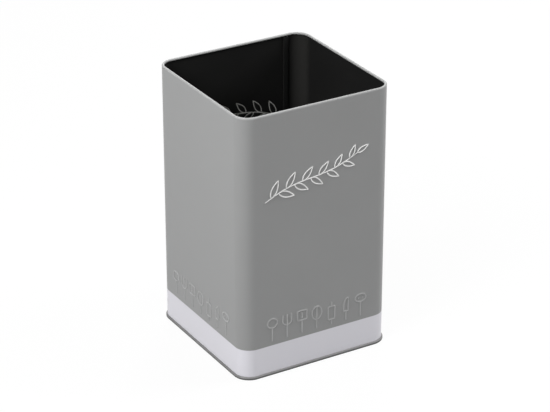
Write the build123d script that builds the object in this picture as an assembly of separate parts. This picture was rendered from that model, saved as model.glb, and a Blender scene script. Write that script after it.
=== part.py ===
from build123d import *
import os

# Utensil crock: a square canister of thin steel sheet with rounded corners, open at the top.
# Millimetres. The origin is the middle of the footprint, on the surface that the crock stands on, with +Z up.
# The back wall is the one at +Y. The body's seam runs down its inside, next to the corner at +X.

# Body wrap: one strip, bent round the square and hooked to itself
body_width = 105.0
body_height = 175.0
corner_radius = 10.0
sheet_thickness = 0.3
flange_bend_radius = 0.3

# Rolled rim at the top of the wrap, flush with the outside of the wall
rim_bead_diameter = 1.6
rim_curl_angle = 300.0
wire_clearance = 0.02
wire_end_gap = 0.8

# Lock seam that closes the wrap: each end of the strip is folded back, and the two folds hold each other
seam_width = 3.2
seam_layer_gap = 0.05
seam_corner_distance = 0.6
seam_joggle_bend_radius = 0.25
seam_notch_height = 3.5
seam_foot_height = 3.0
fold_radius_share = 0.45

# Base plate: a stamped square whose edge is folded up and over the flange of the wrap
base_thickness = 0.35
base_crimp_gap = 0.06
base_crimp_outset = 0.9
base_wall_clearance = 0.1
base_panel_rise = 2.0
base_panel_bend_radius = 0.7
base_foot_bend_radius = 0.4

# Stiffening rib, pressed upwards round the middle of the base plate
rib_corner_radius = 4.0
rib_width = 2.4
rib_height = 0.6
rib_bend_radius = 0.5
rib_crest_share = 0.3

# Places that follow from the sizes above
half_width = body_width / 2
wall_centre = half_width - sheet_thickness / 2
straight_length = body_width - 2 * corner_radius
corner_centre = half_width - corner_radius
flange_height = base_thickness + base_crimp_gap + sheet_thickness / 2
flange_edge = half_width + base_crimp_outset - base_thickness - base_crimp_gap
crimp_height = 2 * base_thickness + 2 * base_crimp_gap + sheet_thickness
rim_radius = rim_bead_diameter / 2
rim_centre = half_width - rim_radius
rim_centre_height = body_height - rim_radius
seam_foot = crimp_height + seam_foot_height
seam_top = body_height - rim_bead_diameter - seam_notch_height


def sheet_section(*centre_lines, thickness):
    """Give a line, drawn down the middle of the sheet, the thickness of the sheet."""
    return trace(lines=centre_lines, line_width=thickness)


def around_the_square(section):
    """Carry a section of the right-hand wall, drawn in X and Z, round the four walls and corners."""
    upright = Plane.XZ.offset(-straight_length / 2) * section
    wall = extrude(upright, amount=straight_length)
    corner_axis = Axis((corner_centre, corner_centre, 0), (0, 0, 1))
    corner = revolve(upright, axis=corner_axis, revolution_arc=90)
    quarter = wall + corner
    return Part() + [Rot(Z=90 * turn) * quarter for turn in range(4)]


def foot_of_wrap():
    """The lowest part of the wrap, where the wall turns outwards into the flange that the base holds."""
    centre_line = FilletPolyline(
        (flange_edge, flange_height),
        (wall_centre, flange_height),
        (wall_centre, seam_foot),
        radius=flange_bend_radius,
    )
    return around_the_square(sheet_section(centre_line, thickness=sheet_thickness))


def rim_of_wrap():
    """The top of the wrap, where the wall runs up and curls inwards into the rolled rim."""
    riser = Line((wall_centre, seam_top), (wall_centre, rim_centre_height))
    curl = CenterArc(
        center=(rim_centre, rim_centre_height),
        radius=rim_radius - sheet_thickness / 2,
        start_angle=0,
        arc_size=rim_curl_angle,
    )
    return around_the_square(sheet_section(riser, curl, thickness=sheet_thickness))


def seamed_strip():
    """The wrap between its foot and its rim: one strip round the square, with the lock seam on its inside."""
    pitch = sheet_thickness + seam_layer_gap
    fold_radius = fold_radius_share * 2 * pitch
    joggle = corner_centre - seam_corner_distance - seam_joggle_bend_radius
    outer_fold = joggle - pitch
    inner_fold = outer_fold - seam_width
    hook_clearance = fold_radius + seam_layer_gap
    layers = [wall_centre - pitch * layer for layer in range(4)]
    corner_bend = corner_radius - sheet_thickness / 2
    centre_line = FilletPolyline(
        (inner_fold + hook_clearance, layers[2]),
        (outer_fold, layers[2]),
        (outer_fold, layers[0]),
        (-wall_centre, wall_centre),
        (-wall_centre, -wall_centre),
        (wall_centre, -wall_centre),
        (wall_centre, wall_centre),
        (joggle, layers[0]),
        (joggle, layers[3]),
        (inner_fold, layers[3]),
        (inner_fold, layers[1]),
        (outer_fold - hook_clearance, layers[1]),
        radius=[
            fold_radius,
            fold_radius,
            corner_bend,
            corner_bend,
            corner_bend,
            corner_bend,
            seam_joggle_bend_radius,
            fold_radius + pitch,
            fold_radius,
            fold_radius,
        ],
    )
    plan = sheet_section(centre_line, thickness=sheet_thickness)
    return Pos(0, 0, seam_foot) * extrude(plan, amount=seam_top - seam_foot)


def body_wrap():
    """The four walls: foot, seamed strip and rim, all one sheet."""
    return foot_of_wrap() + seamed_strip() + rim_of_wrap()


def rim_wire():
    """The wire that the rim is rolled round, with its two ends almost meeting in the middle of the back."""
    wire_radius = rim_radius - sheet_thickness - wire_clearance
    section = Pos(rim_centre, rim_centre_height) * Circle(wire_radius)
    end_gap = Pos(0, rim_centre, rim_centre_height) * Box(wire_end_gap, rim_bead_diameter, rim_bead_diameter)
    return around_the_square(section) - end_gap


def base_plate():
    """The bottom: a raised panel with its rib, a short wall inside the wrap, and the edge folded over the flange."""
    panel_height = base_panel_rise + base_thickness / 2
    rib_inset = corner_radius - rib_corner_radius
    rib_middle = half_width - rib_inset
    rib_foot = rib_width / 2
    rib_crest = rib_width * rib_crest_share / 2
    panel_edge = rib_middle - rib_width
    inner_wall = half_width - sheet_thickness - base_wall_clearance - base_thickness / 2
    foot_height = base_thickness / 2
    outer_edge = half_width + base_crimp_outset - base_thickness / 2
    fold_height = crimp_height - base_thickness / 2
    fold_radius = fold_radius_share * (fold_height - foot_height)
    centre_line = FilletPolyline(
        (panel_edge, panel_height),
        (rib_middle - rib_foot, panel_height),
        (rib_middle - rib_crest, panel_height + rib_height),
        (rib_middle + rib_crest, panel_height + rib_height),
        (rib_middle + rib_foot, panel_height),
        (inner_wall, panel_height),
        (inner_wall, foot_height),
        (outer_edge, foot_height),
        (outer_edge, fold_height),
        (half_width + base_crimp_gap, fold_height),
        radius=[
            rib_bend_radius,
            rib_bend_radius,
            rib_bend_radius,
            rib_bend_radius,
            base_panel_bend_radius,
            base_foot_bend_radius,
            fold_radius,
            fold_radius,
        ],
    )
    border = around_the_square(sheet_section(centre_line, thickness=base_thickness))
    panel_size = 2 * panel_edge
    panel_corner = rib_corner_radius - rib_width
    panel = extrude(RectangleRounded(panel_size, panel_size, panel_corner), amount=base_thickness)
    return border + Pos(0, 0, base_panel_rise) * panel


os.makedirs("parts", exist_ok=True)
pieces = {
    "body_wrap": body_wrap(),
    "base_plate": base_plate(),
    "rim_wire": rim_wire(),
}
for name, piece in pieces.items():
    export_step(piece, f"parts/{name}.step")
    print(name, "solids", len(piece.solids()), "volume", round(piece.volume, 1))
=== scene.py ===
# %% [markdown]
# # A tin crock for kitchen utensils
#
# This lesson dresses a square tin crock: one strip of thin steel sheet, bent round a square, closed by a
# folded seam, rolled over a wire at the top and crimped to a base plate at the foot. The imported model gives
# the true sizes. Blender adds what the eye looks for: the pressed relief, the printed sprig, the enamel, the
# lacquer and the tin.

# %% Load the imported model
import math

import bmesh
import bpy
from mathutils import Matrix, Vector
from mathutils.kdtree import KDTree


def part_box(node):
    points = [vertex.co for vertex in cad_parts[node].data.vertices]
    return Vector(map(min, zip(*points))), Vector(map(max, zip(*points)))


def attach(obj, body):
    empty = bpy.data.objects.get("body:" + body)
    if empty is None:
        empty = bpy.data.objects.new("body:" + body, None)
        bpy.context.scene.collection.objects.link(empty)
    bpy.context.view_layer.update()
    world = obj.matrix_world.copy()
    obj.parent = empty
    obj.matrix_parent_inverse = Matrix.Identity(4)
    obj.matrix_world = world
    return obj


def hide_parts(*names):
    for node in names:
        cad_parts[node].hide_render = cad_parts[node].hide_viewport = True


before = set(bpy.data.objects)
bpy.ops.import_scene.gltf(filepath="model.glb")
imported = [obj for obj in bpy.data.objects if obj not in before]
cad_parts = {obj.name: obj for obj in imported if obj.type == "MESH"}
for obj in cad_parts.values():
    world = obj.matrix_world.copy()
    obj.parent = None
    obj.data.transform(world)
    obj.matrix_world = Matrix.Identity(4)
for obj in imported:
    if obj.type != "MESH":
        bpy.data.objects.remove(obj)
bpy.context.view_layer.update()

print("nodes:", sorted(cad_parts))

# %% [markdown]
# ## Sizes
#
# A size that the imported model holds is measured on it, so that a new mesh lies where its solid does. The
# wall, for example, is the widest part of the wrap above its foot. Only what can't be measured so is written
# down.

# %% Measure the walls, the rim and the foot
MM = 0.001
wrap_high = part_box("body_wrap")[1]
plate_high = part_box("base_plate")[1]
wire_low, wire_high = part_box("rim_wire")
above_foot = 2 * plate_high.z
wrap_points = [vertex.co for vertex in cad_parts["body_wrap"].data.vertices]
wall = max(point.x for point in wrap_points if point.z > above_foot)
rim_top = wrap_high.z
rim_radius = rim_top - (wire_low.z + wire_high.z) / 2
corner_radius = 10 * MM
corner_centre = wall - corner_radius
straight = 2 * corner_centre
sheet = 0.3 * MM
print("wall at", round(wall / MM, 2), "mm, straight run", round(straight / MM, 2), "mm")
print("rim radius", round(rim_radius / MM, 3), "mm")

# %% [markdown]
# ## Camera
#
# The photograph looks down on one corner of the crock through a long lens, so its walls hardly converge. The
# camera stands on a line through the middle of the crock, at the azimuth, height and distance that fit the
# outlines, and is aimed a touch beside the middle.

# %% Place the camera
photo_width_px = 550
focal_length_px = 2259.6
camera_azimuth = math.radians(-30.64)
camera_elevation = math.radians(25.91)
camera_distance = 1.4074
aim_right = 1.05 * MM
aim_up = -1.86 * MM

middle = Vector((0, 0, rim_top / 2))
level = math.cos(camera_elevation)
back = Vector((
    math.sin(camera_azimuth) * level,
    -math.cos(camera_azimuth) * level,
    math.sin(camera_elevation),
))
right = (-back).cross(Vector((0, 0, 1))).normalized()
up = right.cross(-back)
camera_data = bpy.data.cameras.new("camera")
camera_data.lens = camera_data.sensor_width * focal_length_px / photo_width_px
camera = bpy.data.objects.new("camera", camera_data)
camera.location = middle + back * camera_distance
aim = middle + right * aim_right + up * aim_up
camera.rotation_euler = (aim - camera.location).to_track_quat("-Z", "Y").to_euler()
scene = bpy.context.scene
scene.collection.objects.link(camera)
scene.camera = camera
print("lens", round(camera_data.lens, 1), "mm, at", [round(value, 3) for value in camera.location])

# %% [markdown]
# ## Shader nodes
#
# Light, floor and finishes are all made of shader nodes. Two helpers keep that short: one adds a node and
# feeds its inputs, each with a plain value or from another node, and the other does so for a sum.

# %% Add and feed nodes


def feed(tree, socket, source):
    """Feed an input with a plain value, or link it to an output of another node."""
    if isinstance(source, bpy.types.NodeSocket):
        tree.links.new(source, socket)
    else:
        socket.default_value = source


def add_node(tree, kind, sources=None, **settings):
    """Add a shader node, set its properties and feed its inputs."""
    node = tree.nodes.new(kind)
    for name, value in settings.items():
        setattr(node, name, value)
    for name, source in (sources or {}).items():
        feed(tree, node.inputs[name], source)
    return node


def add_math(tree, operation, *sources):
    """Add a Math node, feed its inputs in turn, and give its result."""
    return add_node(tree, "ShaderNodeMath", dict(enumerate(sources)), operation=operation).outputs[0]


def seen_directly(tree):
    """A mask: 1 for what the camera or a reflection sees, 0 for light on its way to a matt surface."""
    path = add_node(tree, "ShaderNodeLightPath").outputs
    return add_math(tree, "MAXIMUM", path["Is Camera Ray"], path["Is Glossy Ray"])


print("helpers for nodes are ready")

# %% [markdown]
# ## Light
#
# A crock like this is shot in a light tent, pale all round. One strong lamp would be simpler, but it leaves
# a hard glare on a satin coat. The tent gives only a little of the light, yet where the camera or a
# reflection sees it, it is plain white, so the glossy coats have something pale to reflect.

# %% World
tent_strength = 0.12
plain_white = (1.0, 1.0, 1.0, 1.0)
scene.view_settings.view_transform = "Standard"


def make_tent():
    """A white world whose light is weaker than it looks."""
    tent = bpy.data.worlds.new("light_tent")
    tent.use_nodes = True
    tree = tent.node_tree
    background = tree.nodes["Background"].inputs
    sources = {"Value": seen_directly(tree), "To Min": tent_strength}
    strength = add_node(tree, "ShaderNodeMapRange", sources)
    feed(tree, background["Color"], plain_white)
    feed(tree, background["Strength"], strength.outputs["Result"])
    return tent


scene.world = make_tent()
print("world", scene.world.name, "with a light of", tent_strength)

# %% [markdown]
# ### Soft boxes
#
# Five soft boxes give most of the light. The largest hangs overhead. Two at the left share the left wall and
# its corner, one at the right lights the front a little less, and one behind keeps the back from going dark.
# They are as strong as it takes for the walls to render about as their colours are written.

# %% Hang the soft boxes
soft_boxes = {
    "overhead_box": {"place": (0.0, 0.0, 0.95), "side": 1.0, "watts": 3.6},
    "left_box": {"place": (-0.65, -0.13, 0.72), "side": 0.45, "watts": 5.9},
    "corner_box": {"place": (-0.7, -0.4, 0.62), "side": 0.35, "watts": 3.9},
    "right_box": {"place": (0.85, -0.28, 0.70), "side": 0.4, "watts": 8.1},
    "back_box": {"place": (0.5, 0.8, 0.75), "side": 0.5, "watts": 7.0},
}


def add_soft_box(name, place, side, watts):
    """A square lamp that faces the middle of the crock."""
    lamp = bpy.data.lights.new(name, "AREA")
    lamp.shape = "RECTANGLE"
    lamp.size = side
    lamp.size_y = side
    lamp.energy = watts
    holder = bpy.data.objects.new(name, lamp)
    holder.location = place
    holder.rotation_euler = (middle - Vector(place)).to_track_quat("-Z", "Y").to_euler()
    scene.collection.objects.link(holder)


for name, box in soft_boxes.items():
    add_soft_box(name, **box)
print("soft boxes:", [lamp.name for lamp in bpy.data.lights])

# %% [markdown]
# ### Floor
#
# The floor is a plain pale sheet. Where the camera or a reflection sees it, it is mixed with white, so the
# background stays white and still keeps the soft shadow under the crock.

# %% Floor finish
floor_paper = (0.65, 0.65, 0.65, 1.0)
floor_white_share = 0.93


def make_floor_finish():
    """Pale paper, mixed with plain white for the camera and for reflections."""
    material = bpy.data.materials.new("pale_floor")
    material.use_nodes = True
    tree = material.node_tree
    tree.nodes.clear()
    paper = add_node(tree, "ShaderNodeBsdfDiffuse", {"Color": floor_paper}).outputs[0]
    white = add_node(tree, "ShaderNodeEmission").outputs[0]
    share = add_math(tree, "MULTIPLY", seen_directly(tree), floor_white_share)
    mix = add_node(tree, "ShaderNodeMixShader", {0: share, 1: paper, 2: white})
    add_node(tree, "ShaderNodeOutputMaterial", {"Surface": mix.outputs[0]})
    return material


floor_finish = make_floor_finish()
print("finish", floor_finish.name)

# %% Lay the floor
floor_half = 3.0
sharpest_smooth_bend = math.radians(35)


def mesh_object(name, bm, materials):
    """Turn a bmesh into a smooth object at the origin, with its materials. Sharp bends stay sharp."""
    for face in bm.faces:
        face.smooth = True
    for edge in bm.edges:
        edge.smooth = len(edge.link_faces) != 2 or edge.calc_face_angle() < sharpest_smooth_bend
    mesh = bpy.data.meshes.new(name)
    bm.to_mesh(mesh)
    bm.free()
    for material in materials:
        mesh.materials.append(material)
    piece = bpy.data.objects.new(name, mesh)
    scene.collection.objects.link(piece)
    return piece


floor_mesh = bmesh.new()
bmesh.ops.create_grid(floor_mesh, x_segments=1, y_segments=1, size=floor_half)
floor = mesh_object("floor", floor_mesh, [floor_finish])
print("floor", 2 * floor_half, "m wide")

# %% [markdown]
# ## Shared effects
#
# Two effects come back in several finishes, so each is built once, as a node group with named inputs.
# `fine_texture` is the faint unevenness of a sprayed or rolled coat. `rubs` is a mask of the small marks that
# a coat gets from being handled. A group gives only values, and the shader itself stays in each material.

# %% Node group: fine texture of a coat
grain_detail = 3.0
clouds_per_metre = 24.0
cloud_detail = 4.0
cloud_middle = 0.5


def new_group(name, inputs, outputs):
    """An empty shader group. An input with a usual value is a number, and one without is a place."""
    group = bpy.data.node_groups.new(name, "ShaderNodeTree")
    new_socket = group.interface.new_socket
    for socket_name, usual in inputs.items():
        kind = "NodeSocketVector" if usual is None else "NodeSocketFloat"
        socket = new_socket(socket_name, in_out="INPUT", socket_type=kind)
        if usual is not None:
            socket.default_value = usual
    for socket_name in outputs:
        new_socket(socket_name, in_out="OUTPUT", socket_type="NodeSocketFloat")
    return group, group.nodes.new("NodeGroupInput").outputs, group.nodes.new("NodeGroupOutput").inputs


def make_fine_texture():
    """Fine grain for the relief, and slow clouds for the roughness and the tone."""
    usual = {"Place": None, "Grains per Metre": 900.0, "Roughness": 0.4, "Roughness Spread": 0.1}
    group, given, result = new_group("fine_texture", usual, ("Height", "Roughness", "Tone"))
    grain = add_node(group, "ShaderNodeTexNoise", {
        "Vector": given["Place"],
        "Scale": given["Grains per Metre"],
        "Detail": grain_detail,
    })
    clouds = add_node(group, "ShaderNodeTexNoise", {
        "Vector": given["Place"],
        "Scale": clouds_per_metre,
        "Detail": cloud_detail,
    })
    tone = clouds.outputs["Fac"]
    centred = add_math(group, "SUBTRACT", tone, cloud_middle)
    rough = add_math(group, "MULTIPLY_ADD", centred, given["Roughness Spread"], given["Roughness"])
    feed(group, result["Height"], grain.outputs["Fac"])
    feed(group, result["Roughness"], rough)
    feed(group, result["Tone"], tone)
    return group


fine_texture = make_fine_texture()
print("group", fine_texture.name, "with", len(fine_texture.nodes), "nodes")

# %% Node group: rubs
rub_slant = (0.5, 0.3, 0.2)
rub_squeeze = (1.0, 1.0, 0.2)
rubs_per_metre = 300.0
rub_detail = 6.0
rub_raggedness = 0.7
rub_threshold = 0.64
rub_full = 0.8


def ramp(tree, source, low, high):
    """A mask that rises softly from 0 to 1 while its source goes from low to high."""
    sources = {"Value": source, "From Min": low, "From Max": high}
    return add_node(tree, "ShaderNodeMapRange", sources, interpolation_type="SMOOTHSTEP").outputs["Result"]


def make_rubs():
    """Rare small marks, longer than they are wide, as a mask."""
    group, given, result = new_group("rubs", {"Place": None, "Amount": 0.3}, ("Mask",))
    slant = add_node(group, "ShaderNodeMapping", {
        "Vector": given["Place"],
        "Rotation": rub_slant,
        "Scale": rub_squeeze,
    })
    marks = add_node(group, "ShaderNodeTexNoise", {
        "Vector": slant.outputs["Vector"],
        "Scale": rubs_per_metre,
        "Detail": rub_detail,
        "Roughness": rub_raggedness,
    })
    rare = ramp(group, marks.outputs["Fac"], rub_threshold, rub_full)
    feed(group, result["Mask"], add_math(group, "MULTIPLY", rare, given["Amount"]))
    return group


rubs = make_rubs()
print("group", rubs.name, "with", len(rubs.nodes), "nodes")

# %% [markdown]
# ## Finishes
#
# Every finish starts alike: a Principled shader, the object's own coordinates and the fine texture, whose
# height goes through a Bump node. One helper makes that start, and each finish then adds its own colours.

# %% The start of a finish


def use_group(tree, group, place, values):
    """Put a shared effect in a material, fed with a place and this finish's own values."""
    return add_node(tree, "ShaderNodeGroup", {"Place": place, **values}, node_tree=group).outputs


def start_finish(name, texture_values, bump_distance, gloss_level):
    """A Principled material whose roughness and relief come from the fine texture."""
    material = bpy.data.materials.new(name)
    material.use_nodes = True
    tree = material.node_tree
    surface = tree.nodes["Principled BSDF"].inputs
    place = add_node(tree, "ShaderNodeTexCoord").outputs["Object"]
    texture = use_group(tree, fine_texture, place, texture_values)
    bump = add_node(tree, "ShaderNodeBump", {"Distance": bump_distance, "Height": texture["Height"]})
    feed(tree, surface["Specular IOR Level"], gloss_level)
    feed(tree, surface["Normal"], bump.outputs["Normal"])
    feed(tree, surface["Roughness"], texture["Roughness"])
    return material, tree, surface, place, texture


def mix_colours(tree, factor, first, second):
    """Mix two colours, each a value or a socket, by a factor. A Mix node's colours are found by type."""
    mix = add_node(tree, "ShaderNodeMix", {0: factor}, data_type="RGBA")
    ends = [socket for socket in mix.inputs if socket.type == "RGBA"]
    for socket, colour in zip(ends, (first, second)):
        feed(tree, socket, colour)
    return next(socket for socket in mix.outputs if socket.type == "RGBA")


print("helpers for finishes are ready")

# %% Masks for colours


def split_place(tree, place):
    """The three coordinates of a place, by their letters."""
    return add_node(tree, "ShaderNodeSeparateXYZ", {"Vector": place}).outputs


def height_mask(tree, place, low, high):
    """A mask that rises between two heights of the object."""
    return ramp(tree, split_place(tree, place)["Z"], low, high)


def pressed_lines_mask(tree, low, high):
    """A mask of the pressed lines, from how far the press has pushed each vertex."""
    stretched = add_node(tree, "ShaderNodeAttribute", attribute_name="press_share")
    return ramp(tree, stretched.outputs["Fac"], low, high)


def rub_mask(tree, place, amount):
    """A mask of the small marks from handling."""
    return use_group(tree, rubs, place, {"Amount": amount})["Mask"]


print("helpers for masks are ready")

# %% [markdown]
# ### Enamel
#
# The outside of the strip is coated flat, before it is bent: satin grey, with a pale lilac band printed along
# the edge that becomes the foot. It could be two materials on cut faces, but the band has no thickness, so
# here one material changes colour at a height. The pressed lines are painted paler, as a painted highlight
# on their ridges. The rolled rim is painted paler too, as a painted highlight on its curl, and it is duller,
# since every spoon rubs along it. The clouds of the fine texture shift the tone by up to two hundredths.

# %% Enamel finish
band_top = 20.6 * MM
band_edge_blur = 0.12 * MM
# Painted highlight on the rolled rim: from here up its curl is painted a paler grey, where the light falls on
# it.
rim_highlight_start = rim_top - 1.6 * rim_radius
rim_highlight_end = rim_top - 1.0 * rim_radius
# Painted highlight on the pressed lines: their ridges are painted a paler grey where the light would catch
# them.
press_highlight_start = 0.1
press_highlight_full = 0.9
grey = (0.201, 0.203, 0.2025, 1.0)
grey_lighter = (0.217, 0.219, 0.2185, 1.0)
# The paler grey below is a painted highlight on the pressed ridges.
grey_painted_highlight = (0.270, 0.272, 0.2715, 1.0)
# The rim's paler grey is a painted highlight on its curl.
rim_painted_highlight = (0.27, 0.272, 0.271, 1.0)
rim_dullness = 0.22
lilac = (0.518, 0.512, 0.549, 1.0)
lilac_lighter = (0.538, 0.532, 0.568, 1.0)
rubbed = (0.42, 0.42, 0.42, 1.0)
enamel_rubs = 0.08
enamel_texture = {"Grains per Metre": 1100.0, "Roughness": 0.38, "Roughness Spread": 0.12}


def make_enamel():
    """Satin grey enamel with the pale band below band_top, a painted highlight on the duller rim and on the
    pressed lines.
    """
    material, tree, surface, place, texture = start_finish(
        "satin_enamel", enamel_texture, bump_distance=0.012 * MM, gloss_level=0.4
    )
    grey_coat = mix_colours(tree, texture["Tone"], grey, grey_lighter)
    # Painted highlight: the grey is mixed towards a paler grey along the pressed ridges.
    pressed = pressed_lines_mask(tree, press_highlight_start, press_highlight_full)
    grey_coat = mix_colours(tree, pressed, grey_coat, grey_painted_highlight)
    lilac_coat = mix_colours(tree, texture["Tone"], lilac, lilac_lighter)
    above_band = height_mask(tree, place, band_top - band_edge_blur, band_top + band_edge_blur)
    coat = mix_colours(tree, above_band, lilac_coat, grey_coat)
    # Painted highlight on the rim's curl; the same band is also made duller.
    rim_highlight_and_wear = height_mask(tree, place, rim_highlight_start, rim_highlight_end)
    coat = mix_colours(tree, rim_highlight_and_wear, coat, rim_painted_highlight)
    coat = mix_colours(tree, rub_mask(tree, place, enamel_rubs), coat, rubbed)
    duller = add_math(tree, "MULTIPLY_ADD", rim_highlight_and_wear, rim_dullness, texture["Roughness"])
    feed(tree, surface["Roughness"], duller)
    feed(tree, surface["Base Color"], coat)
    return material


enamel = make_enamel()
print("finish", enamel.name)

# %% [markdown]
# ### Lacquer
#
# The inside of the strip and the top of the base are black lacquer. A plain black would do from afar, but a
# painted sheen makes the lacquer paler in the bent corners, and painted glints make the pressed lines show as
# pale lines inside the back wall. One mask comes from the place in a corner, the other from the pressed
# lines.

# %% Lacquer finish
lacquer_black = (0.0072, 0.0072, 0.0072, 1.0)
lacquer_paler = (0.0102, 0.0102, 0.01, 1.0)
lacquer_rubbed = (0.025, 0.025, 0.025, 1.0)
# Painted sheen: the lacquer is painted paler in the bent corners, where the light catches them inside.
lacquer_painted_sheen = (0.017, 0.0168, 0.016, 1.0)
# Painted glints: the pressed lines inside are painted pale, as light catching their grooves.
lacquer_painted_glint = (0.46, 0.46, 0.44, 1.0)
# The painted sheen rises across this reach, at the start of each bend.
corner_sheen_start = corner_centre - 1.0 * MM
corner_sheen_full = corner_centre + 4.5 * MM
glint_start = 0.3
glint_full = 1.0
lacquer_rubs = 0.05
lacquer_texture = {"Grains per Metre": 700.0, "Roughness": 0.36, "Roughness Spread": 0.08}


def corner_mask(tree, place):
    """A mask that is 1 in the four bent corners and 0 on the flat walls."""
    coordinates = split_place(tree, place)
    beyond = []
    for direction in "XY":
        distance = add_math(tree, "ABSOLUTE", coordinates[direction])
        beyond.append(ramp(tree, distance, corner_sheen_start, corner_sheen_full))
    return add_math(tree, "MULTIPLY", *beyond)


def make_lacquer():
    """Black lacquer, with a painted sheen in the bent corners and painted glints on the pressed lines."""
    material, tree, surface, place, texture = start_finish(
        "black_lacquer", lacquer_texture, bump_distance=0.012 * MM, gloss_level=0.3
    )
    black = mix_colours(tree, texture["Tone"], lacquer_black, lacquer_paler)
    # Painted sheen in the bent corners.
    black = mix_colours(tree, corner_mask(tree, place), black, lacquer_painted_sheen)
    # Painted glints along the pressed lines.
    black = mix_colours(tree, pressed_lines_mask(tree, glint_start, glint_full), black, lacquer_painted_glint)
    black = mix_colours(tree, rub_mask(tree, place, lacquer_rubs), black, lacquer_rubbed)
    feed(tree, surface["Base Color"], black)
    return material


lacquer = make_lacquer()
print("finish", lacquer.name)

# %% [markdown]
# ### Tin and wire
#
# The underside of the base is bare tinned steel, and since the plate is folded up round the foot, that bare
# side is what shows as the dark crimp. Tin dulls with age, so it is only partly metallic, and a painted shade
# darkens it towards the shelf, where the shadow under the crock falls. The wire in the rim is drawn steel.
# Both follow one recipe, so one function makes them.

# %% Bare metal finishes
# Painted shade: the metal is painted darker towards the shelf, as the shadow under the foot.
painted_foot_shade = (0.03, 0.03, 0.03, 1.0)
foot_shade_full = 0.4 * MM
foot_shade_top = 1.8 * MM
tin_dark = (0.14, 0.14, 0.14, 1.0)
tin_pale = (0.19, 0.19, 0.19, 1.0)
tin_bareness = 0.3
wire_dark = (0.35, 0.35, 0.36, 1.0)
wire_pale = (0.5, 0.5, 0.5, 1.0)
wire_bareness = 1.0
metal_rubs = 0.5
tin_texture = {"Grains per Metre": 1500.0, "Roughness": 0.55, "Roughness Spread": 0.2}
wire_texture = {"Grains per Metre": 2500.0, "Roughness": 0.35, "Roughness Spread": 0.2}


def make_metal(name, dark, pale, bareness, texture_values):
    """Steel with cloudy tone and dull spots, darkened by a painted shade where it is close to the shelf."""
    material, tree, surface, place, texture = start_finish(
        name, texture_values, bump_distance=0.01 * MM, gloss_level=0.5
    )
    metal = mix_colours(tree, texture["Tone"], dark, pale)
    metal = mix_colours(tree, rub_mask(tree, place, metal_rubs), metal, dark)
    # Painted shade, darker towards the shelf.
    metal = mix_colours(tree, height_mask(tree, place, foot_shade_full, foot_shade_top), painted_foot_shade, metal)
    feed(tree, surface["Metallic"], bareness)
    feed(tree, surface["Base Color"], metal)
    return material


dull_tin = make_metal("dull_tin", tin_dark, tin_pale, tin_bareness, tin_texture)
drawn_wire = make_metal("drawn_wire", wire_dark, wire_pale, wire_bareness, wire_texture)
print("finishes", dull_tin.name, drawn_wire.name)

# %% [markdown]
# ### Ink
#
# The sprig is printed in a matt off-white ink, a little thinner in some places. It could be a pattern in the
# enamel, but ink lies on top of the coat as a film, so it is a piece of its own with its own finish.

# %% Ink finish
ink_thin = (0.54, 0.54, 0.535, 1.0)
ink_full = (0.67, 0.67, 0.665, 1.0)
ink_texture = {"Grains per Metre": 3000.0, "Roughness": 0.6, "Roughness Spread": 0.1}


def make_ink():
    """Matt off-white printing ink, a little thinner in places."""
    material, tree, surface, place, texture = start_finish(
        "white_ink", ink_texture, bump_distance=0.006 * MM, gloss_level=0.5
    )
    feed(tree, surface["Base Color"], mix_colours(tree, texture["Tone"], ink_thin, ink_full))
    return material


ink = make_ink()
print("finish", ink.name)

# %% [markdown]
# ## Pulling and bending sheet
#
# Sheet metal is worked in two ways: it is pulled straight, or bent round a centre. Blender's spin operator
# does both, because with no angle it only pushes its geometry along in steps. So every section in this
# lesson is drawn by pulling and bending a single vertex, and every wall by pulling and bending that section.

# %% Pull and bend
UPRIGHT = (0, 0, 1)
ACROSS = (0, 1, 0)


def pull(bm, geometry, move, steps=1):
    """Push vertices and edges along a move, leaving edges or faces behind. Gives its last part."""
    step = Vector(move) / steps
    made = bmesh.ops.spin(
        bm, geom=geometry, cent=(0, 0, 0), axis=UPRIGHT, dvec=step, angle=0, steps=steps
    )
    return made["geom_last"]


def bend(bm, geometry, centre, axis, degrees, steps):
    """Turn vertices and edges round a centre, leaving edges or faces behind. Gives its last part."""
    turn = math.radians(degrees)
    made = bmesh.ops.spin(
        bm, geom=geometry, cent=centre, axis=axis, dvec=(0, 0, 0), angle=turn, steps=steps
    )
    return made["geom_last"]


print("pull and bend are ready")

# %% [markdown]
# A section is drawn in an upright plane, where the right wall begins. Three helpers draw it: one pulls its
# end level, one pulls it upright, and one bends it.

# %% Draw a section


def pull_level(bm, tip, x):
    """Pull the end of a section level, as far as x."""
    return pull(bm, tip, (x - tip[0].co.x, 0, 0))


def pull_upright(bm, tip, z, steps=1):
    """Pull the end of a section up or down, as far as the height z."""
    return pull(bm, tip, (0, 0, z - tip[0].co.z), steps)


def bend_section(bm, tip, x, z, degrees, steps):
    """Bend the end of a section round the centre x, z."""
    return bend(bm, tip, (x, 0, z), ACROSS, degrees, steps)


print("sections start", round(corner_centre / MM, 2), "mm before the middle of the right wall")

# %% Carry a section round the square
cells_per_wall = 36
corner_steps = 16
cell = straight / cells_per_wall
touching = sheet / 100


def carry_round_the_square(bm):
    """Pull the section along each wall and bend it round each corner, back to where it began."""
    section = [*bm.verts, *bm.edges]
    for turn in range(4):
        angle = math.radians(90 * turn)
        outward = Vector((math.cos(angle), math.sin(angle), 0))
        onward = Vector((-math.sin(angle), math.cos(angle), 0))
        section = pull(bm, section, onward * straight, cells_per_wall)
        section = bend(bm, section, (outward + onward) * corner_centre, UPRIGHT, 90, corner_steps)
    bmesh.ops.remove_doubles(bm, verts=bm.verts, dist=touching)


def face_outwards(bm, sample, outward):
    """Make all normals agree, and turn them over if the sample face looks away from outward."""
    bmesh.ops.recalc_face_normals(bm, faces=bm.faces)
    if sample.normal.dot(Vector(outward)) < 0:
        bmesh.ops.reverse_faces(bm, faces=bm.faces)
    bm.normal_update()


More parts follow.
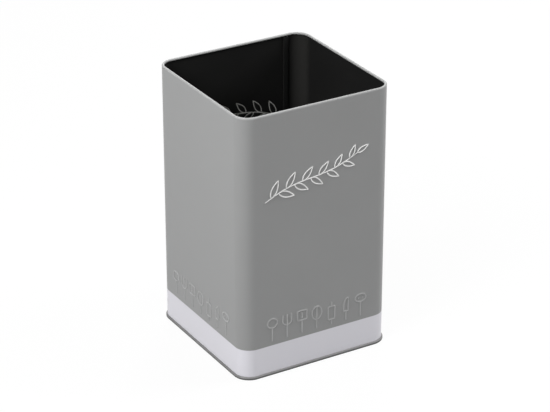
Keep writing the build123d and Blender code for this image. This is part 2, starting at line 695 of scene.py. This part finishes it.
print("cells of", round(cell / MM, 3), "mm on the walls")

# %% [markdown]
# ## The body wrap
#
# The wrap is drawn as its outer, enamelled skin: a small flange at the foot, the wall, and the rim that curls
# inwards over the wire. Rows are close together only where the relief will be pressed, and the rest of the
# wall is left in tall faces.

# %% Skin of the wrap
flange_top = 0.9 * MM
flange_edge = wrap_high.x
flange_bend = 0.15 * MM
flange_steps = 4
seam_foot = 4.12 * MM
seam_to_rim = 0.5 * MM
seam_top = rim_top - 2 * rim_radius - seam_to_rim
tool_rows_foot = 21.8 * MM
tool_rows = 8
sprig_rows_foot = 107.0 * MM
sprig_rows = 17
curl_degrees = 300
curl_steps = 20
near = sheet / 10


def draw_wrap_skin():
    """The outer skin of the wrap, all round, without its seam."""
    bm = bmesh.new()
    tip = [bm.verts.new((flange_edge, -corner_centre, flange_top))]
    tip = pull_level(bm, tip, wall + flange_bend)
    tip = bend_section(bm, tip, wall + flange_bend, flange_top + flange_bend, 90, flange_steps)
    tip = pull_upright(bm, tip, seam_foot)
    for foot, rows in ((tool_rows_foot, tool_rows), (sprig_rows_foot, sprig_rows)):
        tip = pull_upright(bm, tip, foot)
        tip = pull_upright(bm, tip, foot + rows * cell, rows)
    tip = pull_upright(bm, tip, seam_top)
    tip = pull_upright(bm, tip, rim_top - rim_radius)
    bend_section(bm, tip, wall - rim_radius, rim_top - rim_radius, -curl_degrees, curl_steps)
    carry_round_the_square(bm)
    return bm


wrap = draw_wrap_skin()
right_face = next(f for f in wrap.faces if abs(f.calc_center_median().x - wall) < near)
face_outwards(wrap, right_face, (1, 0, 0))
print("skin of the wrap:", len(wrap.faces), "faces")

# %% [markdown]
# ### The folded seam
#
# The strip's ends meet on the back wall, next to a corner. Each end is folded back on itself and hooked into
# the other, and both hooks lie inside, so the outside stays flush apart from a fine upright groove. Here the
# skin is cut open by two cuts, and the cut edges are pulled and bent on into the two hooks, as a folding
# machine does. The layers keep a hair's breadth between them.

# %% Sizes of the seam
seam_width = 3.2 * MM
layer_gap = 0.05 * MM
layer_pitch = sheet + layer_gap
joggle_bend = 0.25 * MM
groove_to_corner = 0.6 * MM
groove_right = corner_centre - groove_to_corner
joggle = groove_right - joggle_bend
outer_fold = joggle - layer_pitch
inner_fold = outer_fold - seam_width
hook_clearance = layer_pitch
groove_left = outer_fold - layer_pitch
half_sheet = sheet / 2
print("groove from", round(groove_left / MM, 2), "to", round(groove_right / MM, 2), "mm")

# %% Cut the groove


def once(parts):
    """Each part once, in the order in which it comes."""
    return list(dict.fromkeys(parts))


def on_back_wall(vertex):
    """Whether a vertex lies on the back wall."""
    return abs(vertex.co.y - wall) < near


def in_seam(z):
    """Whether a height lies between the foot and the top of the seam."""
    return seam_foot - near < z < seam_top + near


def back_faces(bm):
    """The faces that lie on the back wall."""
    return [face for face in bm.faces if all(on_back_wall(v) for v in face.verts)]


def cut_groove(bm):
    """Cut the back wall at both sides of the groove and take out the faces of the seam between them."""
    for x in (groove_left, groove_right):
        parts = once(part for face in back_faces(bm) for part in (face, *face.edges, *face.verts))
        bmesh.ops.bisect_plane(bm, geom=parts, plane_co=(x, 0, 0), plane_no=(1, 0, 0), dist=touching)
    gone = []
    for face in back_faces(bm):
        centre = face.calc_center_median()
        if groove_left < centre.x < groove_right and in_seam(centre.z):
            gone.append(face)
    bmesh.ops.delete(bm, geom=gone, context="FACES")
    return len(gone)


print("faces taken out for the groove:", cut_groove(wrap))

# %% Fold the hooks
fold_steps = 12
joggle_steps = 6
turn_steps = 8


def cut_edge(bm, x):
    """The upright chain of open edges at one side of the groove."""
    chain = []
    for edge in bm.edges:
        at_cut = edge.is_boundary and all(abs(v.co.x - x) < touching for v in edge.verts)
        if at_cut and all(on_back_wall(v) and in_seam(v.co.z) for v in edge.verts):
            chain.append(edge)
    return [*once(v for edge in chain for v in edge.verts), *chain]


def fold_left_hook(bm):
    """The left end turns right back, over half a circle, and ends as the second layer from inside."""
    centre = (groove_left, wall - layer_pitch - half_sheet, 0)
    edge = bend(bm, cut_edge(bm, groove_left), centre, UPRIGHT, -180, fold_steps)
    pull(bm, edge, (inner_fold + hook_clearance - groove_left, 0, 0))


def fold_right_hook(bm):
    """The right end steps inwards past the other fold, runs behind it and turns back into it."""
    step_centre = (groove_right, wall - joggle_bend - half_sheet, 0)
    edge = bend(bm, cut_edge(bm, groove_right), step_centre, UPRIGHT, 90, joggle_steps)
    turn_radius = 2 * layer_pitch
    step_in = turn_radius + joggle_bend - 3 * layer_pitch
    edge = pull(bm, edge, (0, step_in, 0))
    turn_x = joggle - turn_radius
    turn_y = step_centre[1] + step_in
    edge = bend(bm, edge, (turn_x, turn_y, 0), UPRIGHT, -90, turn_steps)
    fold_x = inner_fold + layer_pitch
    edge = pull(bm, edge, (fold_x - turn_x, 0, 0))
    fold_y = turn_y - (turn_radius - half_sheet) + (layer_pitch - half_sheet)
    edge = bend(bm, edge, (fold_x, fold_y, 0), UPRIGHT, -180, fold_steps)
    pull(bm, edge, (outer_fold - hook_clearance - fold_x, 0, 0))


fold_left_hook(wrap)
fold_right_hook(wrap)
bmesh.ops.remove_doubles(wrap, verts=wrap.verts, dist=touching)
print("with its hooks:", len(wrap.faces), "faces")

# %% [markdown]
# ### Thickness
#
# Until now the skin has no thickness. The faces that exist are marked as the outer side, and the sheet is
# then solidified inwards, so every face that the operator adds is the inner side or a cut edge. The outer
# side gets the piece's first material, and the inner side its second.

# %% Give the sheet its thickness
OUTER_SIDE, INNER_SIDE = 0, 1


def thicken(bm, thickness):
    """Thicken a skin away from its normals, and give each side its material."""
    skin = set(bm.faces)
    bmesh.ops.solidify(bm, geom=bm.faces[:], thickness=thickness)
    bm.normal_update()
    for face in bm.faces:
        face.material_index = OUTER_SIDE if face in skin else INNER_SIDE


def count_open_edges(bm):
    """How many edges don't join two faces. A closed sheet has none."""
    return sum(1 for edge in bm.edges if len(edge.link_faces) != 2)


wrap.normal_update()
thicken(wrap, sheet)
widest = max(vertex.co.x for vertex in wrap.verts if vertex.co.z > above_foot)
print("walls still reach", round(widest / MM, 2), "mm, open edges:", count_open_edges(wrap))

# %% [markdown]
# ## Drawings on the walls
#
# A row of kitchen tools is pressed into the sheet all round, just above the band, and a sprig of leaves is
# pressed and printed on the front and the back. Both are line drawings. They are drawn in millimetres on a
# wall seen from outside, with u to the right from its middle and v up from the floor. Straight lines have two
# points, and round ones are arcs.

# %% Lines and arcs
arc_steps = 20
box_corner_steps = 5


def arc(centre, radii, start, end, steps=arc_steps):
    """Points along part of an ellipse, anticlockwise, in degrees."""
    angles = [math.radians(start + (end - start) * step / steps) for step in range(steps + 1)]
    return [(centre[0] + radii[0] * math.cos(a), centre[1] + radii[1] * math.sin(a)) for a in angles]


def rounded_box(left, low, right_side, high, radii):
    """The outline of a box with rounded corners."""
    across, upward = radii
    corners = (
        (right_side - across, high - upward, 0),
        (left + across, high - upward, 90),
        (left + across, low + upward, 180),
        (right_side - across, low + upward, 270),
    )
    outline = []
    for x, y, start in corners:
        outline += arc((x, y), radii, start, start + 90, box_corner_steps)
    return outline + outline[:1]


print("a quarter arc has", len(arc((0, 0), (1, 1), 0, 90)), "points")

# %% [markdown]
# ### Seven kitchen tools
#
# A press leaves no fine detail, so each tool is a few plain lines. They are given in shares of the tool's own
# box, from -0.5 to 0.5 across and from 0 to 1 upwards.

# %% Shapes of the tools
tool_rounding = (0.12, 0.05)


def handle(top_share):
    return [(0, 0), (0, top_share)]


def spoon():
    return [arc((0, 0.79), (0.38, 0.21), 0, 360), handle(0.58)]


def fork():
    outer = [(-0.34, 1), *arc((0, 0.72), (0.34, 0.17), 180, 360), (0.34, 1)]
    return [outer, handle(1)]


def turner():
    slot = [(0, 0.68), (0, 0.88)]
    return [rounded_box(-0.36, 0.56, 0.36, 1, tool_rounding), slot, handle(0.56)]


def whisk():
    return [arc((0, 0.7), (0.38, 0.3), 0, 360), handle(1)]


def rolling_pin():
    upper_handle = [(0, 0.8), (0, 1)]
    return [rounded_box(-0.26, 0.2, 0.26, 0.8, tool_rounding), upper_handle, handle(0.2)]


def knife():
    curve = arc((0.16, 0.62), (0.34, 0.38), 90, 180)
    blade = [(0.16, 0.4), (0.16, 1), *curve, (-0.18, 0.4), (0.16, 0.4)]
    return [blade, handle(0.4)]


def skimmer():
    holes = [[(x, 0.81), (x, 0.82)] for x in (-0.17, 0.17)]
    return [arc((0, 0.82), (0.42, 0.18), 0, 360), *holes, handle(0.64)]


tools = [spoon, fork, turner, whisk, rolling_pin, knife, skimmer]
print("tools:", [tool.__name__ for tool in tools])

# %% Set the tools in a row
tool_width = 9.2
tool_height = 15.0
tool_pitch = 10.6
tool_foot = 24.0


def draw_tools():
    """The row of tools, in millimetres on a wall."""
    lines = []
    for place, tool in enumerate(tools):
        middle_u = (place - (len(tools) - 1) / 2) * tool_pitch
        for line in tool():
            lines.append([(middle_u + x * tool_width, tool_foot + y * tool_height) for x, y in line])
    return lines


tool_lines = draw_tools()
print(len(tools), "tools in", len(tool_lines), "lines")

# %% [markdown]
# ### The sprig
#
# One stem climbs to the right in a slow curve, and slim leaves branch off in turn to either side, shorter
# towards the tip. A loop makes them all: each leaf is two bowed lines from its foot to its point.

# %% Stem of the sprig
stem_start = Vector((-37.0, 118.5))
stem_end = Vector((27.5, 136.5))
stem_bow = 1.8
heading_step = 0.01


def on_stem(share):
    """A point of the stem: a straight climb with one slow wave."""
    climb = stem_end - stem_start
    side = Vector((-climb.y, climb.x)).normalized()
    return stem_start + climb * share + side * stem_bow * math.sin(2 * math.pi * share)


def stem_heading(share):
    """The direction of the stem at a share of its length, in degrees."""
    ahead = on_stem(share + heading_step) - on_stem(share - heading_step)
    return math.degrees(math.atan2(ahead.y, ahead.x))


print("the stem climbs at", round(stem_heading(0.5), 1), "degrees in its middle")

# %% Leaves of the sprig
stem_steps = 48
leaf_steps = 12
leaf_count = 11
leaf_length = 12.0
leaf_tip_length = 8.5
leaf_width = 4.0
leaf_fullness = 0.8
leaf_angle = 41
leaf_first_share = 0.07
tip_heading_share = 0.98


def draw_leaf(foot, heading, length):
    """Two bowed lines from the foot of a leaf to its point."""
    ahead = Vector((math.cos(math.radians(heading)), math.sin(math.radians(heading))))
    side = Vector((-ahead.y, ahead.x))
    width = leaf_width * length / leaf_length
    edges = []
    for half in (-0.5, 0.5):
        edge = []
        for step in range(leaf_steps + 1):
            share = step / leaf_steps
            bow = width * half * math.sin(math.pi * share**leaf_fullness)
            edge.append(foot + ahead * length * share + side * bow)
        edges.append(edge)
    return edges


def draw_sprig():
    """The stem and its leaves, in millimetres on a wall."""
    lines = [[on_stem(step / stem_steps) for step in range(stem_steps + 1)]]
    for leaf in range(leaf_count):
        share = leaf_first_share + (1 - leaf_first_share) * leaf / leaf_count
        side = 1 if leaf % 2 == 0 else -1
        length = leaf_length + (leaf_tip_length - leaf_length) * share
        lines += draw_leaf(on_stem(share), stem_heading(share) + side * leaf_angle, length)
    return lines + draw_leaf(on_stem(1), stem_heading(tip_heading_share), leaf_tip_length)


sprig_lines = [[tuple(point) for point in line] for line in draw_sprig()]
highest = max(v for line in sprig_lines for u, v in line)
print("the sprig has", len(sprig_lines), "lines and reaches", round(highest, 1), "mm")

# %% [markdown]
# ## Pressing the relief
#
# A press pushes the sheet outwards along each line, into a low ridge about one and a half millimetres wide.
# The real ridge has soft shoulders, so its height falls as a squared cosine with the distance from the line.
# A bump in the material would be quicker, but it has no outline, so the mesh itself is pressed.

# %% Distance from a drawing
ridge_half_width = 0.72 * MM
ridge_height = 0.48 * MM
sample_step = 0.1


def sample(line, step):
    """Points along a line, no further than one step apart, in millimetres."""
    points = []
    for start, end in zip(line, line[1:]):
        count = max(1, math.ceil(math.dist(start, end) / step))
        for part in range(count):
            share = part / count
            points.append((start[0] + (end[0] - start[0]) * share, start[1] + (end[1] - start[1]) * share))
    return points + [tuple(line[-1])]


def distance_finder(lines):
    """A search tree over samples of some lines, in metres on the wall."""
    points = [point for line in lines for point in sample(line, sample_step)]
    tree = KDTree(len(points))
    for index, (u, v) in enumerate(points):
        tree.insert((u * MM, v * MM, 0), index)
    tree.balance()
    return tree


def ridge(distance):
    """Height of the ridge at a distance from its line."""
    if distance >= ridge_half_width:
        return 0.0
    return ridge_height * math.cos(math.pi / 2 * distance / ridge_half_width) ** 2


row_tree = distance_finder(tool_lines)
sprig_tree = distance_finder(sprig_lines)
print("ridge at its middle", ridge(0) / MM, "mm")
print("ridge halfway out", round(ridge(ridge_half_width / 2) / MM, 3), "mm")

# %% The four walls
FRONT, RIGHT, BACK, LEFT = range(4)
OUTSIDE, INSIDE = 0, sheet
flat_within = sheet / 50


class Wall:
    """One of the four walls, with its directions as seen from outside."""

    def __init__(self, number):
        angle = math.radians(90 * number)
        self.right = Vector((math.cos(angle), math.sin(angle), 0))
        self.out = Vector((math.sin(angle), -math.cos(angle), 0))

    def flat(self, point):
        """The place of a point on the wall: u, v and nothing."""
        return Vector((point.dot(self.right), point.z, 0))

    def holds(self, vertex, depth):
        """Whether a vertex lies flat on the wall, at a depth below its outer side."""
        on_plane = abs(vertex.co.dot(self.out) - (wall - depth)) < flat_within
        return on_plane and abs(vertex.co.dot(self.right)) < corner_centre + sheet


walls = [Wall(number) for number in (FRONT, RIGHT, BACK, LEFT)]
print("the front looks along", [round(value) for value in walls[FRONT].out])

# %% [markdown]
# Only the faces near the lines are made small, in a few rounds of halving, each closer to the lines than the
# last. The outside gets three rounds and the inside two, except behind the sprig on the back wall, which
# shows through the mouth of the crock. Both sides of the sheet are pressed, which leaves ridges outside and
# grooves inside. How far each vertex is pressed is noted on it, for the painted highlights and glints.

# %% Refine and press a wall
half_diagonal = 0.75
press_share = wrap.verts.layers.float.new("press_share")


def refine(bm, this_wall, tree, depth, rounds):
    """Halve the faces near the lines, a few rounds over, each time closer to the lines."""
    size = cell
    for _ in range(rounds):
        reach = ridge_half_width + half_diagonal * size
        edges = []
        for face in bm.faces:
            if len(face.verts) != 4 or not all(this_wall.holds(v, depth) for v in face.verts):
                continue
            if tree.find(this_wall.flat(face.calc_center_median()))[2] < reach:
                edges += face.edges
        bmesh.ops.subdivide_edges(bm, edges=once(edges), cuts=1, use_grid_fill=True)
        size /= 2


def press(bm, this_wall, tree, depth):
    """Push the wall's vertices outwards along the lines, and note how far each is pressed, as a share of the
    ridge.
    """
    moved = 0
    for vertex in bm.verts:
        if this_wall.holds(vertex, depth):
            rise = ridge(tree.find(this_wall.flat(vertex.co))[2])
            vertex.co += this_wall.out * rise
            vertex[press_share] = max(vertex[press_share], rise / ridge_height)
            moved += rise > 0
    return moved


print("noted on each vertex:", wrap.verts.layers.float.keys())

# %% Press all the walls
row_rounds = {OUTSIDE: 3, INSIDE: 2}
sprig_rounds = {(FRONT, OUTSIDE): 3, (FRONT, INSIDE): 2, (BACK, OUTSIDE): 3, (BACK, INSIDE): 3}
for number, this_wall in enumerate(walls):
    for depth in (OUTSIDE, INSIDE):
        refine(wrap, this_wall, row_tree, depth, row_rounds[depth])
        moved = press(wrap, this_wall, row_tree, depth)
        if (number, depth) in sprig_rounds:
            refine(wrap, this_wall, sprig_tree, depth, sprig_rounds[number, depth])
            moved += press(wrap, this_wall, sprig_tree, depth)
        print("wall", number, "depth", depth, "moved", moved, "of", len(wrap.verts))

# %% [markdown]
# Where small faces meet large ones, a face may have a corner in the middle of a straight side. Left alone,
# some of these faces would be exported with a triangle that has no area, so they are split here, where the
# operator can choose the better cut.

# %% Split the uneven faces and finish the wrap
straight_corner = math.radians(179)
uneven = [f for f in wrap.faces if any(corner.calc_angle() > straight_corner for corner in f.loops)]
bmesh.ops.triangulate(wrap, faces=uneven, quad_method="BEAUTY", ngon_method="BEAUTY")
print(len(uneven), "faces with a straight corner split")

wrap_piece = mesh_object("enamelled_wrap", wrap, [enamel, lacquer])
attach(wrap_piece, "root")
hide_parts("body_wrap")
wrap_faces = wrap_piece.data.polygons
wrap_triangles = sum(len(face.vertices) - 2 for face in wrap_faces)
print("wrap:", len(wrap_faces), "faces,", wrap_triangles, "triangles")

# %% [markdown]
# ## Printing the sprig
#
# The print lies on the pressed lines. Each line becomes a thin round tube, made with a bevelled curve, which
# thins towards its ends as a pen line does.

# %% Draw the pen lines
ink_half_width = 0.36 * MM
pen_step = 0.5
pen_roundness = 2
pen_taper_share = 0.12
pen_tip_share = 0.55


def draw_pen_lines(lines):
    """A bevelled curve along each line, thinner at its ends, as a mesh that lies flat on u and v."""
    curve = bpy.data.curves.new("pen_lines", "CURVE")
    curve.dimensions = "3D"
    curve.bevel_depth = ink_half_width
    curve.bevel_resolution = pen_roundness
    curve.use_fill_caps = True
    for line in lines:
        points = sample(line, pen_step)
        spline = curve.splines.new("POLY")
        spline.points.add(len(points) - 1)
        for index, (u, v) in enumerate(points):
            share = index / (len(points) - 1)
            to_end = min(share, 1 - share)
            width = pen_tip_share + (1 - pen_tip_share) * to_end / pen_taper_share
            spline.points[index].co = (u * MM, v * MM, 0, 1)
            spline.points[index].radius = min(1, width)
    holder = bpy.data.objects.new("pen_lines", curve)
    scene.collection.objects.link(holder)
    bevelled = holder.evaluated_get(bpy.context.evaluated_depsgraph_get())
    mesh = bpy.data.meshes.new_from_object(bevelled)
    bpy.data.objects.remove(holder)
    return mesh


pen_mesh = draw_pen_lines(sprig_lines)
print("pen lines:", len(pen_mesh.polygons), "faces")

# %% [markdown]
# The normals are set while the tubes are still round, because on a flat film the operator can't tell which
# side is out. The tubes are then flattened to a film of ink and lifted onto their ridges.

# %% Print the sprig
ink_half_thickness = 0.03 * MM
ink_lift = 0.03 * MM


def print_sprig(name, this_wall):
    """Lay the pen lines on a wall as a thin film over the ridges."""
    film = bmesh.new()
    film.from_mesh(pen_mesh)
    bmesh.ops.remove_doubles(film, verts=film.verts, dist=ink_half_width / 100)
    bmesh.ops.recalc_face_normals(film, faces=film.faces)
    for vertex in film.verts:
        u, v, w = vertex.co
        thickness = w / ink_half_width * ink_half_thickness
        rise = ridge(sprig_tree.find((u, v, 0))[2]) + ink_lift + thickness
        vertex.co = this_wall.right * u + this_wall.out * (wall + rise) + Vector((0, 0, v))
    film.normal_update()
    piece = mesh_object(name, film, [ink])
    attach(piece, "root")
    return piece


for name, number in (("sprig_print_front", FRONT), ("sprig_print_back", BACK)):
    piece = print_sprig(name, walls[number])
    print(name, len(piece.data.polygons), "faces")

# %% [markdown]
# ## The base plate
#
# The base is stamped from one square of tin: a raised panel with a stiffening rib, a short wall inside the
# wrap, a narrow foot to stand on, and an edge that is folded up and in over the flange of the wrap. It is
# drawn as its bare underside, from the flat panel outwards, and thickened upwards. The crimp has two tight
# rounds with a short upright side between them.

# %% Sizes of the base plate
base_sheet = 0.35 * MM
panel_rise = 2.0 * MM
rib_middle = corner_centre + 4.0 * MM
rib_start = rib_middle - 2.4 * MM
rib_side_degrees = 50
rib_round = 0.75 * MM
rib_steps = 5
inside_clearance = 0.1 * MM
inner_wall = wall - sheet - inside_clearance - base_sheet
panel_round = 0.7 * MM - base_sheet / 2
foot_round = 0.4 * MM + base_sheet / 2
plate_bend_steps = 6
crimp_height = 2.15 * MM
crimp_round = 0.75 * MM
crimp_steps = 7
crimp_gap = 0.01 * MM
print("short wall of the base at", round(inner_wall / MM, 2), "mm")

# %% Draw the base plate


def draw_rib(bm, tip):
    """The rib: up, over its crest and down to the panel again."""
    half_rib = 2 * rib_round * math.sin(math.radians(rib_side_degrees))
    crest_drop = 2 * rib_round * math.cos(math.radians(rib_side_degrees))
    centre_z = panel_rise + rib_round
    tip = pull_level(bm, tip, rib_middle - half_rib)
    tip = bend_section(bm, tip, rib_middle - half_rib, centre_z, -rib_side_degrees, rib_steps)
    tip = bend_section(bm, tip, rib_middle, centre_z - crest_drop, 2 * rib_side_degrees, 2 * rib_steps)
    return bend_section(bm, tip, rib_middle + half_rib, centre_z, -rib_side_degrees, rib_steps)


def draw_foot(bm, tip):
    """The short wall inside the wrap and the narrow foot."""
    panel_end = inner_wall - panel_round
    tip = pull_level(bm, tip, panel_end)
    tip = bend_section(bm, tip, panel_end, panel_rise - panel_round, 90, plate_bend_steps)
    tip = pull_upright(bm, tip, foot_round)
    return bend_section(bm, tip, inner_wall + foot_round, foot_round, -90, plate_bend_steps)


def draw_crimp(bm, tip):
    """The edge, folded up and in over the flange of the wrap."""
    fold_x = plate_high.x - crimp_round
    upper_z = crimp_height - crimp_round
    tip = pull_level(bm, tip, fold_x)
    tip = bend_section(bm, tip, fold_x, crimp_round, -90, crimp_steps)
    tip = pull_upright(bm, tip, upper_z)
    tip = bend_section(bm, tip, fold_x, upper_z, -90, crimp_steps)
    return pull_level(bm, tip, wall + crimp_gap)


def draw_plate_skin():
    """The bare underside of the base, from the edge of the flat panel to the edge of the fold."""
    bm = bmesh.new()
    tip = [bm.verts.new((rib_start, -corner_centre, panel_rise))]
    tip = draw_rib(bm, tip)
    tip = draw_foot(bm, tip)
    draw_crimp(bm, tip)
    carry_round_the_square(bm)
    return bm


plate = draw_plate_skin()
print("skin of the base:", len(plate.faces), "faces")

# %% Fill, thicken and finish the base


def fill_panel(bm):
    """Close the middle with one flat face."""
    loop = []
    for edge in bm.edges:
        if edge.is_boundary and all(abs(v.co.z - panel_rise) < touching for v in edge.verts):
            loop.append(edge)
    return bmesh.ops.contextual_create(bm, geom=loop)["faces"][0]


panel = fill_panel(plate)
face_outwards(plate, panel, (0, 0, -1))
thicken(plate, base_sheet)
base_open_edges = count_open_edges(plate)
plate_piece = mesh_object("crimped_base", plate, [dull_tin, lacquer])
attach(plate_piece, "root")
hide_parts("base_plate")
print("base:", len(plate_piece.data.polygons), "faces, open edges:", base_open_edges)

# %% [markdown]
# ## The wire
#
# The wire is wholly closed in by the rim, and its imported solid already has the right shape, so it only gets
# its finish.

# %% Finish the wire
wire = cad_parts["rim_wire"]
wire.data.materials.clear()
wire.data.materials.append(drawn_wire)
print("wire finish:", wire.data.materials[0].name)
